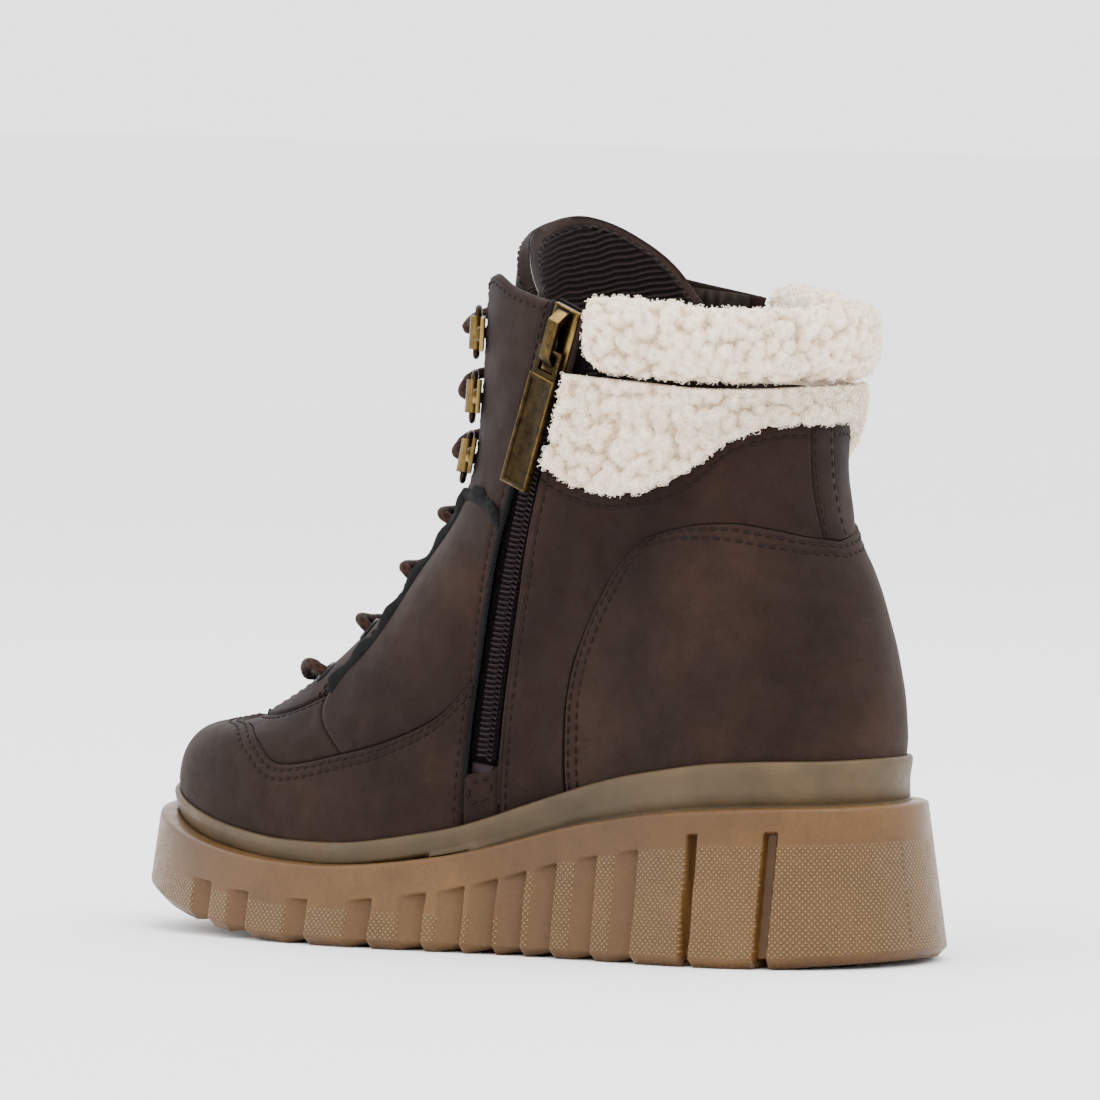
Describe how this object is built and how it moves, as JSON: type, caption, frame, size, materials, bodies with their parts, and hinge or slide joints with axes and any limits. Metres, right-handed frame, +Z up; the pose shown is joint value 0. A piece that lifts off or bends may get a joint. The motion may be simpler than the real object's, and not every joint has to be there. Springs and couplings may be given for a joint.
{
  "type": "insulated winter ankle boot",
  "caption": "Right-foot winter ankle boot: wedge lug sole, nubuck upper, side zip with swinging pull, laced ring-and-eyelet front, tilting tongue and turned pile collar.",
  "frame": {"origin": "on the floor under the middle of the outsole", "axes": "+Y from toe to heel, +X to the medial (zip) side, +Z up"},
  "size_m": [0.1142, 0.2576, 0.1949],
  "materials": {
    "gum": "translucent amber gum rubber, satin",
    "band": "olive-grey rubber, satin",
    "foam": "foam, matte",
    "steel": "satin",
    "board": "fibre board, matte",
    "felt": "felt, matte",
    "nubuck": "dark brown nubuck, matte",
    "nubuck_light": "brown nubuck, matte",
    "sherpa": "cream curly pile",
    "rib": "ribbed knit, matte",
    "black": "matte",
    "tape": "woven, matte",
    "brass": "antique, worn",
    "lace": "braided, matte"
  },
  "bodies": {
    "boot": {"outsole": "gum", "foxing_band": "band", "sole_filler": "foam", "shank": "steel", "insole_board": "board", "footbed": "felt", "toe_mudguard": "nubuck_light", "vamp": "nubuck", "heel_counter": "nubuck_light", "back_strip": "nubuck", "toe_puff": "board", "heel_stiffener": "board", "vamp_lining": "felt", "rear_lining": "felt", "collar_panel": "sherpa", "collar_cuff": "sherpa", "zip_tape_front": "tape", "zip_tape_rear": "tape", "zip_coil_front": "tape", "zip_coil_rear": "tape", "zip_bottom_stop": "brass", "zip_guard": "felt", "lace": "lace", "quarter_medial": "nubuck", "rear_quarter_medial": "nubuck", "eyestay_medial": "nubuck", "facing_medial": "nubuck", "quarter_lining_medial": "felt", "eyelet_medial_1": "black", "eyelet_medial_2": "black", "eyelet_medial_3": "black", "eyelet_medial_4": "black", "ring_clip_medial_1": "brass", "ring_clip_medial_2": "brass", "ring_clip_medial_3": "brass", "quarter_lateral": "nubuck", "rear_quarter_lateral": "nubuck", "eyestay_lateral": "nubuck", "facing_lateral": "nubuck", "quarter_lining_lateral": "felt", "eyelet_lateral_1": "black", "eyelet_lateral_2": "black", "eyelet_lateral_3": "black", "eyelet_lateral_4": "black", "ring_clip_lateral_1": "brass", "ring_clip_lateral_2": "brass", "ring_clip_lateral_3": "brass"},
    "slider": {"zip_slider": "brass"},
    "pull": {"zip_puller": "brass"},
    "tongue": {"tongue_face": "nubuck", "tongue_foam": "foam", "tongue_lining": "rib", "tongue_loop": "black"},
    "ring_medial_1": {"lace_ring_medial_1": "brass"},
    "ring_medial_2": {"lace_ring_medial_2": "brass"},
    "ring_medial_3": {"lace_ring_medial_3": "brass"},
    "ring_lateral_1": {"lace_ring_lateral_1": "brass"},
    "ring_lateral_2": {"lace_ring_lateral_2": "brass"},
    "ring_lateral_3": {"lace_ring_lateral_3": "brass"}
  },
  "joints": [
    {"name": "zip_slide", "type": "hinge", "parent": "boot", "child": "slider", "pos_m": [0.0393, 0.56913, -0.03029], "axis": [1, 0, 0], "range_deg": [0, 5]},
    {"name": "pull_swing", "type": "hinge", "parent": "slider", "child": "pull", "pos_m": [0.04396, 0.03806, 0.16189], "axis": [0, -0.9385, 0.3453], "range_deg": [0, 140]},
    {"name": "tongue_tilt", "type": "hinge", "parent": "boot", "child": "tongue", "pos_m": [0.0047, -0.0855, 0.0545], "axis": [-1, 0, 0], "range_deg": [0, 8]},
    {"name": "ring_swing_medial_1", "type": "hinge", "parent": "boot", "child": "ring_medial_1", "pos_m": [0.02596, -0.00901, 0.13201], "axis": [0.208, -0.062, -0.9762], "range_deg": [0, 10]},
    {"name": "ring_swing_medial_2", "type": "hinge", "parent": "boot", "child": "ring_medial_2", "pos_m": [0.02607, -0.00643, 0.14821], "axis": [0.09, -0.021, -0.9957], "range_deg": [0, 10]},
    {"name": "ring_swing_medial_3", "type": "hinge", "parent": "boot", "child": "ring_medial_3", "pos_m": [0.0262, -0.00494, 0.16544], "axis": [0.026, -0.056, -0.9981], "range_deg": [0, 10]},
    {"name": "ring_swing_lateral_1", "type": "hinge", "parent": "boot", "child": "ring_lateral_1", "pos_m": [-0.02202, -0.00901, 0.13201], "axis": [0.208, 0.062, 0.9762], "range_deg": [0, 10]},
    {"name": "ring_swing_lateral_2", "type": "hinge", "parent": "boot", "child": "ring_lateral_2", "pos_m": [-0.02212, -0.00643, 0.14821], "axis": [0.09, 0.021, 0.9957], "range_deg": [0, 10]},
    {"name": "ring_swing_lateral_3", "type": "hinge", "parent": "boot", "child": "ring_lateral_3", "pos_m": [-0.02226, -0.00494, 0.16544], "axis": [0.026, 0.056, 0.9981], "range_deg": [0, 10]}
  ]
}
